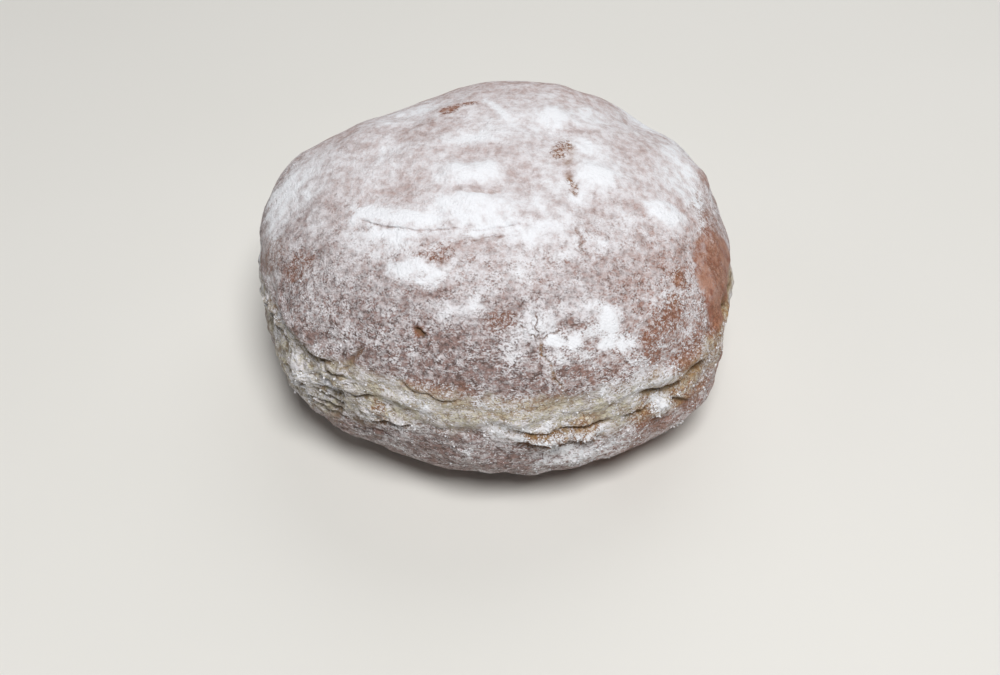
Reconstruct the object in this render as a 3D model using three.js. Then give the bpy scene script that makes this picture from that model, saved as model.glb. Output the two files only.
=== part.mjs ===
// A filled doughnut: a round cushion of fried dough with no hole, dusted with powdered sugar.
//
// It is one solid. A brown dome sits over a pale, wrinkled band at the widest level, where the dough stood
// out of the frying oil, and a brown underside curves in below the band to a flat foot. Folds, cracks,
// drifts of sugar and the small pit where the filling went in are relief in its surface.
//
// Millimetres, +Z up. The origin is on the table, under the middle of the outline. -Y is the front, which
// shows the deep crease, and +X is its right. A place on the surface is given as [azimuth, polar] in
// degrees: azimuth turns from +X towards +Y, and polar is 0 at the top and 90 at the widest level.
import * as THREE from "three";
import { mergeVertices } from "three/addons/utils/BufferGeometryUtils.js";

// The smooth body, before any relief.
const WIDTH = 92;
const DEPTH = 90;
const HEIGHT = 46;
const WAIST_Z = 21.8; // height of the widest level
const FOOT_CUT = 3; // how far the underside's round would pass below the table

// Exponents of its meridian: 2 is an ellipse, and more is squarer.
const MERIDIAN = { side: 2.2, top: 2.3, bottom: 2.5 };
const FULLNESS = 2.8; // of the underside's round: 2 is as round as the dome, and more is fuller

// The globe of triangles that the surface is spread over: a cube's grid blown up to a ball, with level rows
// at the waist. It is drawn towards the front, where the finest folds are.
const ACROSS = 28; // squares along a level edge of the cube
const UPWARD = 36; // squares along an upright edge
const FRONT_PULL = new THREE.Vector3(0.06, -0.24, 0.02);
const MERGE_WITHIN = 1e-5; // of the globe's radius, for corners that triangles share

// Broad swells and hollows that make the ball uneven. reach is the distance at which they fade.
const SWELLS = [
  { at: [90, 50], reach: 17, height: 1.9 },
  { at: [60, 50], reach: 17, height: 0.9 },
  { at: [40, 50], reach: 8, height: -1.8 },
  { at: [30, 62], reach: 15, height: 0.5 },
  { at: [18, 60], reach: 6, height: 1.2 },
  { at: [8, 74], reach: 14, height: -1.9 },
  { at: [-18, 88], reach: 12, height: -1.3 },
  { at: [-38, 106], reach: 10, height: 1.8 },
  { at: [-90, 114], reach: 16, height: -0.2 },
  { at: [-118, 112], reach: 16, height: -1.5 },
  { at: [-142, 104], reach: 12, height: 0.5 },
  { at: [-160, 92], reach: 12, height: -1.7 },
  { at: [165, 68], reach: 6, height: 0.8 },
  { at: [153, 64], reach: 15, height: 1.3 },
  { at: [122, 52], reach: 17, height: -2.1 },
];

// Grooves, each run from one place to another with its upper side on the left of the run, as seen from
// outside. bow lifts the middle of the run towards that side, ripple waves it, and lip is the height of
// the dough that swells over the groove there.
const CREASES = {
  waistLeft: { from: [-89, 89.5], to: [-61, 90.6], width: 1.2, depth: 1.7, bow: 0.7, ripple: 0.3, lip: 0.6 },
  waistRight: { from: [-59, 88.4], to: [-26, 86.5], width: 1.5, depth: 2.6, bow: 0.2, ripple: 0.4, lip: 1.1 },
  low: { from: [-86, 93.2], to: [-66, 98.6], width: 1.1, depth: 1.0, bow: 0.4, ripple: 0.3, lip: 0.4 },
  rightEdge: { from: [-27, 85], to: [-6, 88], width: 1.5, depth: 1.1, bow: 0.6, ripple: 0.3, lip: 0.4 },
  leftFold: { from: [-147, 76], to: [-127, 79], width: 1.1, depth: 1.1, bow: -0.8, ripple: 0.3, lip: 0.5 },
  leftNotch: { from: [-126, 80], to: [-122, 66], width: 1.1, depth: 1.2, bow: 0.2, ripple: 0, lip: 0.3 },
  backFold: { from: [108, 84], to: [62, 88], width: 1.5, depth: 1.6, bow: 0.5, ripple: 0.5, lip: 0.7 },
  backLow: { from: [172, 92], to: [138, 96], width: 1.3, depth: 1.1, bow: 0.4, ripple: 0.4, lip: 0.4 },
  topLong: { from: [-157, 37], to: [-74, 20], width: 1.1, depth: 0.6, bow: -2.0, ripple: 0.2, lip: 0.4 },
  topShort: { from: [-138, 12.5], to: [-76, 9], width: 0.8, depth: 0.5, bow: -0.8, ripple: 0.2, lip: 0.2 },
  topRight: { from: [45, 14.3], to: [-36, 19.5], width: 1.1, depth: 0.5, bow: 1.8, ripple: 0.4, lip: 0.2 },
  shoulder: { from: [-50, 24], to: [-58.5, 34], width: 1.1, depth: 0.6, bow: 0.6, ripple: 0.2, lip: 0.3 },
  crackUp: { from: [-80, 57], to: [-79, 45], width: 1.1, depth: 0.6, bow: 0.2, ripple: 0.2, lip: 0.2 },
  crackLeft: { from: [-79.6, 56], to: [-85, 48], width: 1.1, depth: 0.6, bow: 0.2, ripple: 0.1, lip: 0.2 },
  crackDown: { from: [-80, 54], to: [-75.5, 76], width: 1.1, depth: 0.7, bow: -0.3, ripple: 0.3, lip: 0.2 },
};
const CREASE_WAVES = 2.5; // waves of the ripple along a groove
const CREASE_TAPER = 0.2; // share of a groove's length over which each end fades
const LIP_OFFSET = 2.2; // in groove widths
const LIP_WIDTH = 1.8; // in groove widths
const FACING = 0.3; // least cosine between a place and a groove's middle for the groove to reach it

// Drifts of sugar and lumps of dough: low mounds, long by wide, whose length is turned from +X.
const MOUNDS = {
  topBack: { at: [-144, 6], long: 6, wide: 2.8, turn: 3, height: 0.6 },
  topFront: { at: [-104.8, 15.7], long: 7.5, wide: 3.8, turn: -8, height: 0.9 },
  streak: { at: [-140, 27.5], long: 9, wide: 1.8, turn: -8, height: 0.5 },
  broadLeft: { at: [-124, 31], long: 10, wide: 3, turn: -4, height: 0.4 },
  frontLeft: { at: [-118.4, 38.4], long: 6.5, wide: 2.6, turn: -10, height: 0.6 },
  frontTop: { at: [-68.4, 26.5], long: 6, wide: 4, turn: 0, height: 0.6 },
  rightTop: { at: [-10, 21], long: 3.6, wide: 6, turn: 0, height: 0.6 },
  backTop: { at: [56, 24], long: 4.5, wide: 4.5, turn: 0, height: 0.5 },
  right: { at: [-16.5, 40.7], long: 4, wide: 2.6, turn: -10, height: 0.8 },
  crackTop: { at: [-80.2, 49.5], long: 3, wide: 2.4, turn: 0, height: 0.5 },
  crackSide: { at: [-71.6, 60], long: 3.8, wide: 2.6, turn: -10, height: 0.5 },
  crackRight: { at: [-63.4, 54.5], long: 4, wide: 2.4, turn: 10, height: 0.4 },
  frontMiddle: { at: [-101, 45], long: 4.6, wide: 2.6, turn: 20, height: 0.4 },
  left: { at: [-130.5, 64], long: 2.4, wide: 2, turn: 0, height: 0.4 },
  lowRidge: { at: [-80, 91.6], long: 6.6, wide: 1.3, turn: 4, height: 0.9 },
  lowRidgeEnd: { at: [-69.5, 93.6], long: 2.6, wide: 1.2, turn: 0, height: 0.6 },
  lowLump: { at: [-51.3, 93.7], long: 2, wide: 2.1, turn: 0, height: 1.3 },
  leftLump: { at: [-140.6, 89.7], long: 3.4, wide: 1.4, turn: -50, height: 0.9 },
  leftLumpLow: { at: [-143.5, 98], long: 1.6, wide: 1.4, turn: 0, height: 0.9 },
  footRight: { at: [-73, 106], long: 5, wide: 2, turn: 8, height: 0.6 },
};

// The pit where the filling went in: a puckered dimple with a low rim, at the right edge of the front.
const FILLING_PIT = { at: [-23, 83], reach: 1.9, depth: 1.9, rimReach: 3.6, rimHeight: 0.7 };

// Unevenness everywhere, as waves: size is the distance between neighbouring bumps.
const UNEVENNESS = { size: 12, height: 0.25 };
const ROUGHNESS = { size: 6, height: 0.1 };

// The band's wrinkles, which run along it: size is the distance from one to the next up the side.
const BAND = { z: 23.5, reach: 4.5, size: 3.6, height: 0.4, stretch: 4 };

const radians = THREE.MathUtils.degToRad;

// sign(v) |v|^k, which squares off a sine or cosine.
const power = (v, k) => Math.sign(v) * Math.abs(v) ** k;
const bell = (v) => Math.exp(-v * v);

const direction = ([azimuth, polar]) =>
  new THREE.Vector3(
    Math.sin(radians(polar)) * Math.cos(radians(azimuth)),
    Math.sin(radians(polar)) * Math.sin(radians(azimuth)),
    Math.cos(radians(polar)),
  );

// The smooth body's point in the direction of a unit vector.
function bodyPoint({ x, y, z }) {
  const flat = Math.hypot(x, y) || 1;
  const spread = z >= 0 ? flat ** 2 : 1 - Math.abs(z) ** FULLNESS;
  const out = power(spread, 1 / MERIDIAN.side);
  const up =
    z >= 0
      ? (HEIGHT - WAIST_Z) * power(z, 2 / MERIDIAN.top)
      : (WAIST_Z + FOOT_CUT) * power(z, 2 / MERIDIAN.bottom);
  return new THREE.Vector3(((WIDTH / 2) * out * x) / flat, ((DEPTH / 2) * out * y) / flat, WAIST_Z + up);
}

const bodyPlace = (place) => bodyPoint(direction(place));

const CORE = new THREE.Vector3(0, 0, WAIST_Z);
const outward = (point) => point.clone().sub(CORE).normalize();

// Each of the functions below makes one that tells how far its relief stands out at a point of the body.

function swell({ at, reach, height }) {
  const middle = bodyPlace(at);
  return (point) => height * bell(point.distanceTo(middle) / reach);
}

function crease({ from, to, width, depth, bow, ripple, lip }) {
  const start = bodyPlace(from);
  const run = bodyPlace(to).sub(start);
  const along = run.clone().normalize();
  const out = outward(start.clone().addScaledVector(run, 0.5));
  const side = out.clone().cross(along).normalize();
  return (point) => {
    const offset = point.clone().sub(start);
    const share = offset.dot(along) / run.length();
    if (share < 0 || share > 1 || outward(point).dot(out) < FACING) return 0;
    const arch = 4 * share * (1 - share);
    const bend = bow * arch + ripple * Math.sin(2 * Math.PI * CREASE_WAVES * share);
    const across = (offset.dot(side) - bend) / width;
    const fade = THREE.MathUtils.smoothstep(Math.min(share, 1 - share), 0, CREASE_TAPER);
    return fade * (lip * bell((across - LIP_OFFSET) / LIP_WIDTH) - depth * bell(across));
  };
}

function mound({ at, long, wide, turn, height }) {
  const middle = bodyPlace(at);
  const out = outward(middle);
  const length = new THREE.Vector3(1, 0, 0).projectOnPlane(out).normalize();
  length.applyAxisAngle(out, radians(turn));
  const breadth = out.clone().cross(length);
  return (point) => {
    const offset = point.clone().sub(middle);
    const spread = Math.hypot(offset.dot(length) / long, offset.dot(breadth) / wide, offset.dot(out) / long);
    return height * bell(spread * spread);
  };
}

function pit({ at, reach, depth, rimReach, rimHeight }) {
  const middle = bodyPlace(at);
  return (point) => {
    const distance = point.distanceTo(middle);
    return rimHeight * bell(distance / rimReach) - (depth + rimHeight) * bell(distance / reach);
  };
}

// Waves in evenly spread directions, which add up to bumps between about -1 and 1. Their pitches run from
// a little under the size to a little over it, so that the bumps don't repeat.
const WAVE_COUNT = 15;
const PITCH_SPREAD = 0.2;
const GOLDEN_ANGLE = 180 * (3 - Math.sqrt(5));
function waves(size) {
  const set = Array.from({ length: WAVE_COUNT }, (_, k) => {
    const share = (k + 0.5) / WAVE_COUNT;
    const polar = THREE.MathUtils.radToDeg(Math.acos(1 - share));
    const pitch = size * (1 + PITCH_SPREAD * (2 * share - 1));
    const wave = direction([GOLDEN_ANGLE * k, polar]).multiplyScalar((2 * Math.PI) / pitch);
    return { wave, phase: k * k };
  });
  return (point) =>
    set.reduce((sum, { wave, phase }) => sum + Math.sin(point.dot(wave) + phase), 0) / Math.sqrt(WAVE_COUNT);
}

function roughness({ size, height }) {
  const bumps = waves(size);
  return (point) => height * bumps(point);
}

function wrinkles({ z, reach, size, height, stretch }) {
  const bumps = waves(size);
  const squeeze = new THREE.Vector3(1 / stretch, 1 / stretch, 1);
  return (point) => height * bell((point.z - z) / reach) * bumps(point.clone().multiply(squeeze));
}

const RELIEF = [
  ...SWELLS.map(swell),
  ...Object.values(CREASES).map(crease),
  ...Object.values(MOUNDS).map(mound),
  pit(FILLING_PIT),
  roughness(UNEVENNESS),
  roughness(ROUGHNESS),
  wrinkles(BAND),
];

// The middle of each face of the cube is wide in angle and its rim narrow, which the tangent evens out.
const even = (v) => Math.tan((Math.PI / 4) * v);

function doughnutGeometry() {
  const globe = new THREE.BoxGeometry(2, 2, 2, ACROSS, ACROSS, UPWARD);
  globe.deleteAttribute("normal");
  globe.deleteAttribute("uv");
  const geometry = mergeVertices(globe, MERGE_WITHIN);
  const position = geometry.getAttribute("position");
  const point = new THREE.Vector3();
  for (let i = 0; i < position.count; i++) {
    point.fromBufferAttribute(position, i);
    point.set(even(point.x), even(point.y), even(point.z)).normalize().add(FRONT_PULL).normalize();
    const base = bodyPoint(point);
    const relief = RELIEF.reduce((sum, raise) => sum + raise(base), 0);
    base.addScaledVector(outward(base), relief);
    position.setXYZ(i, base.x, base.y, Math.max(base.z, 0));
  }
  geometry.computeBoundingBox();
  const middle = geometry.boundingBox.getCenter(new THREE.Vector3());
  geometry.translate(-middle.x, -middle.y, 0);
  geometry.computeVertexNormals();
  return geometry;
}

const sugaredDough = new THREE.MeshStandardMaterial({ color: "#cbbdb8", roughness: 0.95, metalness: 0 });
const doughnut = new THREE.Mesh(doughnutGeometry(), sugaredDough);
doughnut.name = "doughnut";

const part = new THREE.Group();
part.add(doughnut);

export default part;
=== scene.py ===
"""The looks of a filled doughnut dusted with powdered sugar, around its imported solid.

The doughnut's surface is built again from the solid's own sizes with finer relief: cracks, wrinkles, an
overhanging fold at the waist and thick drifts of sugar. Loose sugar lies on it as flakes and lumps.

The shape is worked out in millimetres, in the solid's frame, and goes into the meshes in metres. A place on
the surface is [azimuth, polar] in degrees: azimuth turns from +X towards +Y, and polar is 0 at the top and
90 at the widest level.
"""
import itertools
import math

import bmesh
import bpy
import numpy as np
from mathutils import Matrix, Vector


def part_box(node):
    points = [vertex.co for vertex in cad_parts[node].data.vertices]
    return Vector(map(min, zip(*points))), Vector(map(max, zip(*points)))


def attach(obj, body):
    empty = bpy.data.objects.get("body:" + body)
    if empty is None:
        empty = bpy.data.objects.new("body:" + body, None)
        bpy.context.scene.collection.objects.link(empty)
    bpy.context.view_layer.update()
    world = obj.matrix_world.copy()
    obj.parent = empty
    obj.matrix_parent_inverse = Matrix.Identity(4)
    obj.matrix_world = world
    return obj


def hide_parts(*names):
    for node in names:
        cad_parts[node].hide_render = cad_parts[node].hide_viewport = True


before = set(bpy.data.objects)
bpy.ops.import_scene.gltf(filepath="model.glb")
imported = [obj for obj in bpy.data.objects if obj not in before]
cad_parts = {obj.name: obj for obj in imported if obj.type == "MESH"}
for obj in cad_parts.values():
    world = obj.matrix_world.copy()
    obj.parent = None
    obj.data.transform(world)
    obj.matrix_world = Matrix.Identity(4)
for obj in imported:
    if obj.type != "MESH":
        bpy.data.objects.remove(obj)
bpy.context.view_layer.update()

MM = 0.001

# The smooth body, as in the solid. FULLNESS is how long the lower half keeps its width before it
# curves in.
WIDTH = 92
DEPTH = 90
HEIGHT = 46
WAIST_Z = 21.8
FOOT_CUT = 3
SIDE_POWER, TOP_POWER, BOTTOM_POWER = 2.2, 2.3, 2.5
FULLNESS = 2.8
CORE = np.array([0.0, 0.0, WAIST_Z])

# The grid: a cube's grid blown up to a ball and drawn towards the front.
SQUARES_ACROSS = 50
SQUARES_UPWARD = 54
FRONT_PULL = np.array([0.06, -0.24, 0.02])

# Its squares are split in four on the front and round the waist, again along the folds and at the front of
# the waist, and once more along the cracks, which are the grooves up to THIN wide.
FRONT_SIDE = np.array([0.2, -0.6, 0.75])
FRONT_FROM = 12
UNDERSIDE_Z = 3
WAIST_LEVEL, WAIST_REACH = 21, 12
FINE_WAIST_LEVEL, FINE_WAIST_REACH, FINE_WAIST_Y = 18.5, 9.5, -10
FOLD_REACH = 1.0
CRACK_REACH = 0.35
THIN = 0.29

# Broad swells and hollows, as in the solid: place, reach and height.
SWELLS = [
    ((90, 50), 17, 1.9),
    ((60, 50), 17, 0.9),
    ((40, 50), 8, -1.8),
    ((30, 62), 15, 0.5),
    ((18, 60), 6, 1.2),
    ((8, 74), 14, -1.9),
    ((-18, 88), 12, -1.3),
    ((-38, 106), 10, 1.8),
    ((-90, 114), 16, -0.2),
    ((-118, 112), 16, -1.5),
    ((-142, 104), 12, 0.5),
    ((-160, 92), 12, -1.7),
    ((165, 68), 6, 0.8),
    ((153, 64), 15, 1.3),
    ((122, 52), 17, -2.1),
]


def groove(start, end, width, depth, bow=0.0, ripple=0.0, lip=0.0, hang=0.0, stain=0.0, bare_and_shaded=1.0):
    """A groove from one place to another, its upper side on the left as seen from outside. lip is the swell
    over it and hang how far that rolls down across it. stain is how brown its inside is. The last, 0 to 1,
    is how little sugar lies on its floor and how much painted shade darkens that floor."""
    return dict(start=start, end=end, width=width, depth=depth, bow=bow, ripple=ripple, lip=lip, hang=hang,
                stain=stain, bare_and_shaded=bare_and_shaded)


GROOVES = [
    # The waist fold in front, in three runs, and the fold below it.
    groove((-89, 90.4), (-63, 92.6), 0.6, 1.2, bow=0.7, ripple=0.3, lip=0.5, hang=0.25, stain=0.9, bare_and_shaded=0.8),
    groove((-59, 88.3), (-25, 88), 1.1, 2.4, bow=-0.3, ripple=0.4, lip=1.0, hang=0.8, stain=0.9),
    groove((-27, 85), (-6, 88), 1.2, 1.3, bow=0.6, ripple=0.3, lip=0.4, hang=0.4, stain=0.6),
    groove((-87, 93.6), (-66, 98.6), 0.7, 1.5, bow=0.4, ripple=0.3, lip=0.7, stain=0.8),
    groove((-61, 92.6), (-55, 93.4), 0.5, 1.0, bow=0.3, ripple=0.2, lip=0.4, stain=0.8),
    groove((-49, 94), (-43, 99), 0.4, 0.6, bow=0.3, lip=0.3, stain=0.4),
    # Folds at the left and round the back.
    groove((-158, 75), (-127, 79), 0.6, 1.3, bow=-0.8, ripple=0.3, lip=0.9, hang=0.6, stain=0.3),
    groove((-143, 82), (-124, 82.5), 0.5, 1.1, bow=0.4, ripple=0.3, lip=0.6, hang=0.4, stain=0.3),
    groove((-134, 88), (-118, 86), 0.5, 1.0, bow=-0.4, ripple=0.3, lip=0.5, hang=0.3, stain=0.4),
    groove((-126, 80), (-122, 66), 0.4, 0.7, bow=0.2, lip=0.3, stain=0.3, bare_and_shaded=0.6),
    groove((-113, 75), (-97, 78), 0.4, 0.5, bow=-0.3, ripple=0.3, lip=0.4, hang=0.2, stain=0.6, bare_and_shaded=0.5),
    groove((-111.5, 54.3), (-107.8, 56.4), 0.3, 0.8, lip=0.5, stain=0.3, bare_and_shaded=0.9),
    groove((-152, 92), (-138, 95), 0.5, 1.0, bow=0.3, ripple=0.2, lip=0.5, hang=0.3, stain=0.3),
    groove((-120, 96), (-108, 92), 0.4, 0.8, bow=0.3, ripple=0.2, lip=0.3, stain=0.7),
    groove((108, 84), (62, 88), 1.0, 2.0, bow=0.5, ripple=0.5, lip=0.7, hang=0.8, stain=0.8),
    groove((40, 86), (12, 89), 0.7, 1.2, bow=-0.5, ripple=0.4, lip=0.5, hang=0.4, stain=0.6),
    groove((172, 92), (138, 96), 0.8, 1.3, bow=0.4, ripple=0.4, lip=0.4, hang=0.3, stain=0.5),
    # Wrinkles on top.
    groove((-155, 35.5), (-104, 21.2), 0.16, 0.12, bow=-1.8, ripple=0.08, lip=0.25, bare_and_shaded=0.35),
    groove((-107, 23), (-74, 20), 0.16, 0.12, bow=-0.4, ripple=0.06, lip=0.2, bare_and_shaded=0.35),
    groove((-108, 27), (-78, 24), 0.16, 0.1, bow=0.4, ripple=0.08, lip=0.15, bare_and_shaded=0.3),
    groove((-130, 12.2), (-84, 9.4), 0.3, 0.25, bow=-0.6, ripple=0.15, lip=0.2, stain=0.2, bare_and_shaded=0.5),
    groove((30, 17), (-8, 13.2), 0.7, 0.2, bow=0.8, lip=0.2, stain=0.4, bare_and_shaded=0.25),
    groove((-8, 13.5), (-36, 19.5), 0.4, 0.2, bow=0.6, ripple=0.3, lip=0.15, stain=0.3, bare_and_shaded=0.35),
    groove((-50, 24), (-58.5, 34), 0.3, 0.25, bow=0.6, ripple=0.2, lip=0.2, stain=0.1, bare_and_shaded=0.45),
    # The branching crack in the front.
    groove((-80, 57), (-79, 46.5), 0.12, 0.3, bow=0.3, ripple=0.25, lip=0.1, stain=0.3, bare_and_shaded=0.6),
    groove((-79.6, 56), (-84, 50), 0.12, 0.25, bow=0.2, ripple=0.15, lip=0.1, stain=0.3, bare_and_shaded=0.55),
    groove((-80.5, 56), (-73, 54), 0.12, 0.2, bow=0.1, ripple=0.1, lip=0.1, stain=0.3, bare_and_shaded=0.4),
    groove((-80, 54), (-75.5, 76), 0.22, 0.3, bow=-0.3, ripple=0.3, lip=0.15, stain=0.8, bare_and_shaded=0.5),
]
# A groove ripples this many times and fades out over this share of its length at each end. The offsets and
# widths of its lip, its hang and its stain are in the groove's own widths. It is cut only where the surface
# faces its way.
GROOVE_WAVES = 2.5
GROOVE_TAPER = 0.2
LIP_OFFSET, LIP_WIDTH = 2.2, 1.8
HANG_OFFSET, HANG_WIDTH = 1.1, 0.9
STAIN_WIDTH = 1.5
FACING = 0.3


def mound(at, long, wide, turn, height, sugar=1.0):
    """A low mound with the half sizes long and wide, whose length is turned from +X. sugar says how much of
    it is sugar."""
    return dict(at=at, long=long, wide=wide, turn=turn, height=height, sugar=sugar)


MOUNDS = [
    mound((-144, 6), 6, 2.8, 3, 0.6),
    mound((-104.8, 15.7), 7.5, 3.8, -8, 0.9),
    mound((-140, 27.5), 9, 1.8, -8, 0.5, sugar=0.25),
    mound((-124, 31), 10, 3, -4, 0.4, sugar=0.25),
    mound((-117, 38.2), 5.4, 2.1, -6, 0.6, sugar=0.95),
    mound((-68.4, 26.5), 6, 4, 0, 0.6, sugar=0.3),
    mound((-10, 20.5), 3.4, 3.8, 0, 0.6, sugar=0.7),
    mound((56, 22), 3.2, 4.0, 0, 0.5, sugar=0.4),
    mound((-16.5, 40.7), 4, 2.6, -10, 0.8),
    mound((-80.2, 49.5), 3, 2.4, 0, 0.5, sugar=0.55),
    mound((-72.2, 59), 4.2, 2.5, -10, 0.5, sugar=0.85),
    mound((-63.4, 54.5), 4, 2.4, 10, 0.4, sugar=0.35),
    mound((-101, 45), 4.6, 2.6, 20, 0.4, sugar=0.4),
    mound((-130.5, 64), 2.4, 2, 0, 0.4, sugar=0.3),
    mound((-80, 91.6), 6.6, 1.3, 4, 0.9),
    mound((-69.5, 93.6), 2.6, 1.2, 0, 0.6),
    mound((-51.3, 94.2), 1.9, 1.9, 0, 1.3, sugar=0.4),
    mound((-140.6, 89.7), 3.4, 1.4, -50, 0.9, sugar=0.5),
    mound((-143.5, 98), 1.6, 1.4, 0, 0.9, sugar=0.6),
    mound((-73, 106), 5, 2, 8, 0.6, sugar=0.7),
]

# The pit that the filling left, with a low rim.
FILLING_PIT = dict(at=(-23, 83), reach=1.9, depth=1.9, rim_reach=3.6, rim_height=0.7, stain=0.8)

# The solid's own waves all over, and the flat wrinkles round its waist.
UNEVENNESS = dict(size=12, height=0.25)
ROUGHNESS = dict(size=6, height=0.1)
BAND_WRINKLES = dict(z=23.5, reach=4.5, size=3.6, height=0.4, stretch=4)

# The bare, oily crust at the right: place, half sizes, turn and how bare it is.
BALD = [
    dict(at=(-17.5, 73), long=8.6, wide=8.2, turn=0, share=1),
    dict(at=(-28, 75), long=3.8, wide=4.4, turn=0, share=1),
    dict(at=(-28, 64), long=2.0, wide=3.2, turn=0, share=1),
    dict(at=(-12, 59), long=1.4, wide=2.0, turn=0, share=0.8),
    dict(at=(15, 62), long=2.2, wide=3.4, turn=0, share=0.5),
]


def dusting(at, long, wide, amount, turn=0):
    """More sugar round a place, or less where amount is below 0."""
    return dict(at=at, long=long, wide=wide, turn=turn, amount=amount)


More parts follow.
